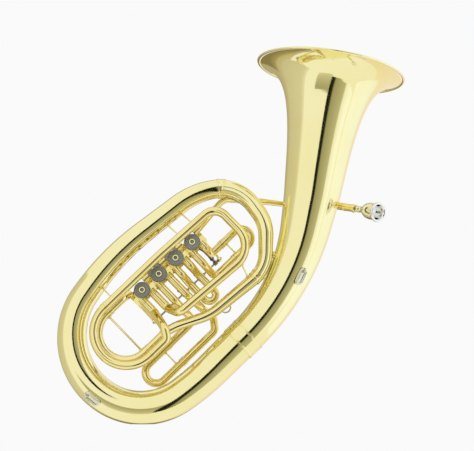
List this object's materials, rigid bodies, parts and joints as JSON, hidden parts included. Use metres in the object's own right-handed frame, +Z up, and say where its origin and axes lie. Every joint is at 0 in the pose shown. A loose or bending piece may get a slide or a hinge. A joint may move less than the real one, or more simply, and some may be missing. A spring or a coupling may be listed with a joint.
{
  "type": "oval rotary baritone tuba",
  "caption": "Oval brass tuba with rotary valves: a conical tube wound in an oval up to a flared bell, with a valve row, pull-out slides, finger levers and a mouthpiece.",
  "frame": {"origin": "centre of the bounding box at its lowest level, below the bottom bow", "axes": "+Z up towards the bell, +X towards the bell side, -Y towards the player who looks at the rotary caps"},
  "size_m": [0.681, 0.2972, 0.7233],
  "materials": {
    "yellow_brass": "clear lacquered polish",
    "gold_brass": "clear lacquered polish",
    "nickel_silver": "polished nickel silver",
    "matt_nickel": "matt worn nickel silver",
    "silver_plate": "polished silver plate",
    "steel": "ground steel",
    "blackened_steel": "blackened steel"
  },
  "bodies": {
    "horn": {"bell": "yellow_brass", "bell_rim": "yellow_brass", "lower_bow": "yellow_brass", "upper_bow": "yellow_brass", "branch": "gold_brass", "bell_garland": "yellow_brass", "upper_bow_ferrule": "yellow_brass", "branch_ferrule": "gold_brass", "valve_casing_1": "yellow_brass", "valve_cap_1": "matt_nickel", "valve_casing_2": "yellow_brass", "valve_cap_2": "matt_nickel", "valve_casing_3": "yellow_brass", "valve_cap_3": "matt_nickel", "valve_casing_4": "yellow_brass", "valve_cap_4": "matt_nickel", "valve_carriage": "yellow_brass", "lever_axle": "steel", "valve_4_front_tube": "yellow_brass", "valve_4_return_tube": "yellow_brass", "tuning_upper_sleeve": "gold_brass", "tuning_lower_sleeve": "gold_brass", "valve_1_sleeve_a": "yellow_brass", "valve_1_sleeve_b": "yellow_brass", "valve_3_sleeve_a": "yellow_brass", "valve_3_sleeve_b": "yellow_brass", "leadpipe": "gold_brass", "mouthpiece_receiver": "gold_brass", "bell_brace": "yellow_brass", "leadpipe_brace": "yellow_brass", "thumb_ring": "nickel_silver", "bell_strap_plate": "nickel_silver", "bow_strap_plate": "nickel_silver"},
    "main_tuning_slide": {"main_tuning_slide": "gold_brass"},
    "valve_1_slide": {"valve_1_slide": "yellow_brass"},
    "valve_2_slide": {"valve_2_slide": "yellow_brass"},
    "valve_3_slide": {"valve_3_slide": "yellow_brass"},
    "valve_4_slide": {"valve_4_slide": "yellow_brass"},
    "water_key": {"water_key": "nickel_silver"},
    "mouthpiece": {"mouthpiece": "silver_plate"},
    "bell_strap_ring": {"bell_strap_ring": "nickel_silver"},
    "bow_strap_ring": {"bow_strap_ring": "nickel_silver"},
    "rotor_1": {"rotor_1": "nickel_silver", "stop_arm_1": "blackened_steel"},
    "lever_1": {"lever_1": "nickel_silver"},
    "link_1": {"link_1": "blackened_steel"},
    "rotor_2": {"rotor_2": "nickel_silver", "stop_arm_2": "blackened_steel"},
    "lever_2": {"lever_2": "nickel_silver"},
    "link_2": {"link_2": "blackened_steel"},
    "rotor_3": {"rotor_3": "nickel_silver", "stop_arm_3": "blackened_steel"},
    "lever_3": {"lever_3": "nickel_silver"},
    "link_3": {"link_3": "blackened_steel"},
    "rotor_4": {"rotor_4": "nickel_silver", "stop_arm_4": "blackened_steel"},
    "lever_4": {"lever_4": "nickel_silver"},
    "link_4": {"link_4": "blackened_steel"}
  },
  "joints": [
    {"name": "main_tuning_pull", "type": "slide", "parent": "horn", "child": "main_tuning_slide", "axis": [-0.7162, 0, -0.6979], "range_m": [0, 0.016]},
    {"name": "valve_4_pull", "type": "slide", "parent": "horn", "child": "valve_4_slide", "axis": [-0.7162, 0, -0.6979], "range_m": [0, 0.02]},
    {"name": "valve_3_pull", "type": "slide", "parent": "horn", "child": "valve_3_slide", "axis": [-0.7162, 0, -0.6979], "range_m": [0, 0.022]},
    {"name": "valve_2_pull", "type": "slide", "parent": "horn", "child": "valve_2_slide", "axis": [0.6979, 0, -0.7162], "range_m": [0, 0.014]},
    {"name": "valve_1_pull", "type": "slide", "parent": "horn", "child": "valve_1_slide", "axis": [0.7162, 0, 0.6979], "range_m": [0, 0.015]},
    {"name": "mouthpiece_pull", "type": "slide", "parent": "horn", "child": "mouthpiece", "axis": [0.6352, -0.7335, -0.242], "range_m": [0, 0.02]},
    {"name": "water_key_press", "type": "hinge", "parent": "main_tuning_slide", "child": "water_key", "pos_m": [-0.19269, -0.007, 0.12173], "axis": [0, 0, -1], "range_deg": [0, 10], "stiffness_Nm_per_rad": 0.02, "springref_deg": -28.65},
    {"name": "bell_strap_ring_swing", "type": "hinge", "parent": "horn", "child": "bell_strap_ring", "pos_m": [0.13616, -0.04272, 0.29199], "axis": [-0.7997, -0.4794, 0.3615], "range_deg": [0, 100]},
    {"name": "bow_strap_ring_swing", "type": "hinge", "parent": "horn", "child": "bow_strap_ring", "pos_m": [-0.27966, -0.03277, 0.05425], "axis": [-0.5503, 0.4794, -0.6836], "range_deg": [0, 100]},
    {"name": "lever_1_press", "type": "hinge", "parent": "horn", "child": "lever_1", "pos_m": [-0.04545, 0.08, 0.31409], "axis": [0.7162, 0, 0.6979], "range_deg": [0, 18], "stiffness_Nm_per_rad": 0.15, "springref_deg": -20.05},
    {"name": "rotor_1_turn", "type": "hinge", "parent": "horn", "child": "rotor_1", "pos_m": [-0.08034, 0, 0.3499], "axis": [0, 1, 0], "range_deg": [0, 90]},
    {"name": "link_1_swing", "type": "hinge", "parent": "lever_1", "child": "link_1", "pos_m": [-0.04437, 0.0398, 0.32402], "axis": [0.7162, 0, 0.6979], "range_deg": [-18, 0]},
    {"name": "lever_2_press", "type": "hinge", "parent": "horn", "child": "lever_2", "pos_m": [-0.07753, 0.08, 0.28282], "axis": [0.7162, 0, 0.6979], "range_deg": [0, 18], "stiffness_Nm_per_rad": 0.15, "springref_deg": -20.05},
    {"name": "rotor_2_turn", "type": "hinge", "parent": "horn", "child": "rotor_2", "pos_m": [-0.11243, 0, 0.31863], "axis": [0, 1, 0], "range_deg": [0, 90]},
    {"name": "link_2_swing", "type": "hinge", "parent": "lever_2", "child": "link_2", "pos_m": [-0.07646, 0.0398, 0.29275], "axis": [0.7162, 0, 0.6979], "range_deg": [-18, 0]},
    {"name": "lever_3_press", "type": "hinge", "parent": "horn", "child": "lever_3", "pos_m": [-0.10962, 0.08, 0.25156], "axis": [0.7162, 0, 0.6979], "range_deg": [0, 18], "stiffness_Nm_per_rad": 0.15, "springref_deg": -20.05},
    {"name": "rotor_3_turn", "type": "hinge", "parent": "horn", "child": "rotor_3", "pos_m": [-0.14452, 0, 0.28737], "axis": [0, 1, 0], "range_deg": [0, 90]},
    {"name": "link_3_swing", "type": "hinge", "parent": "lever_3", "child": "link_3", "pos_m": [-0.10854, 0.0398, 0.26149], "axis": [0.7162, 0, 0.6979], "range_deg": [-18, 0]},
    {"name": "lever_4_press", "type": "hinge", "parent": "horn", "child": "lever_4", "pos_m": [-0.1417, 0.08, 0.22029], "axis": [0.7162, 0, 0.6979], "range_deg": [0, 18], "stiffness_Nm_per_rad": 0.15, "springref_deg": -20.05},
    {"name": "rotor_4_turn", "type": "hinge", "parent": "horn", "child": "rotor_4", "pos_m": [-0.1766, 0, 0.2561], "axis": [0, 1, 0], "range_deg": [0, 90]},
    {"name": "link_4_swing", "type": "hinge", "parent": "lever_4", "child": "link_4", "pos_m": [-0.14063, 0.0398, 0.23022], "axis": [0.7162, 0, 0.6979], "range_deg": [-18, 0]}
  ],
  "couplings": [
    {"joint": "rotor_1_turn", "follows": "lever_1_press", "ratio": 5},
    {"joint": "link_1_swing", "follows": "lever_1_press", "ratio": -1},
    {"joint": "rotor_2_turn", "follows": "lever_2_press", "ratio": 5},
    {"joint": "link_2_swing", "follows": "lever_2_press", "ratio": -1},
    {"joint": "rotor_3_turn", "follows": "lever_3_press", "ratio": 5},
    {"joint": "link_3_swing", "follows": "lever_3_press", "ratio": -1},
    {"joint": "rotor_4_turn", "follows": "lever_4_press", "ratio": 5},
    {"joint": "link_4_swing", "follows": "lever_4_press", "ratio": -1}
  ]
}
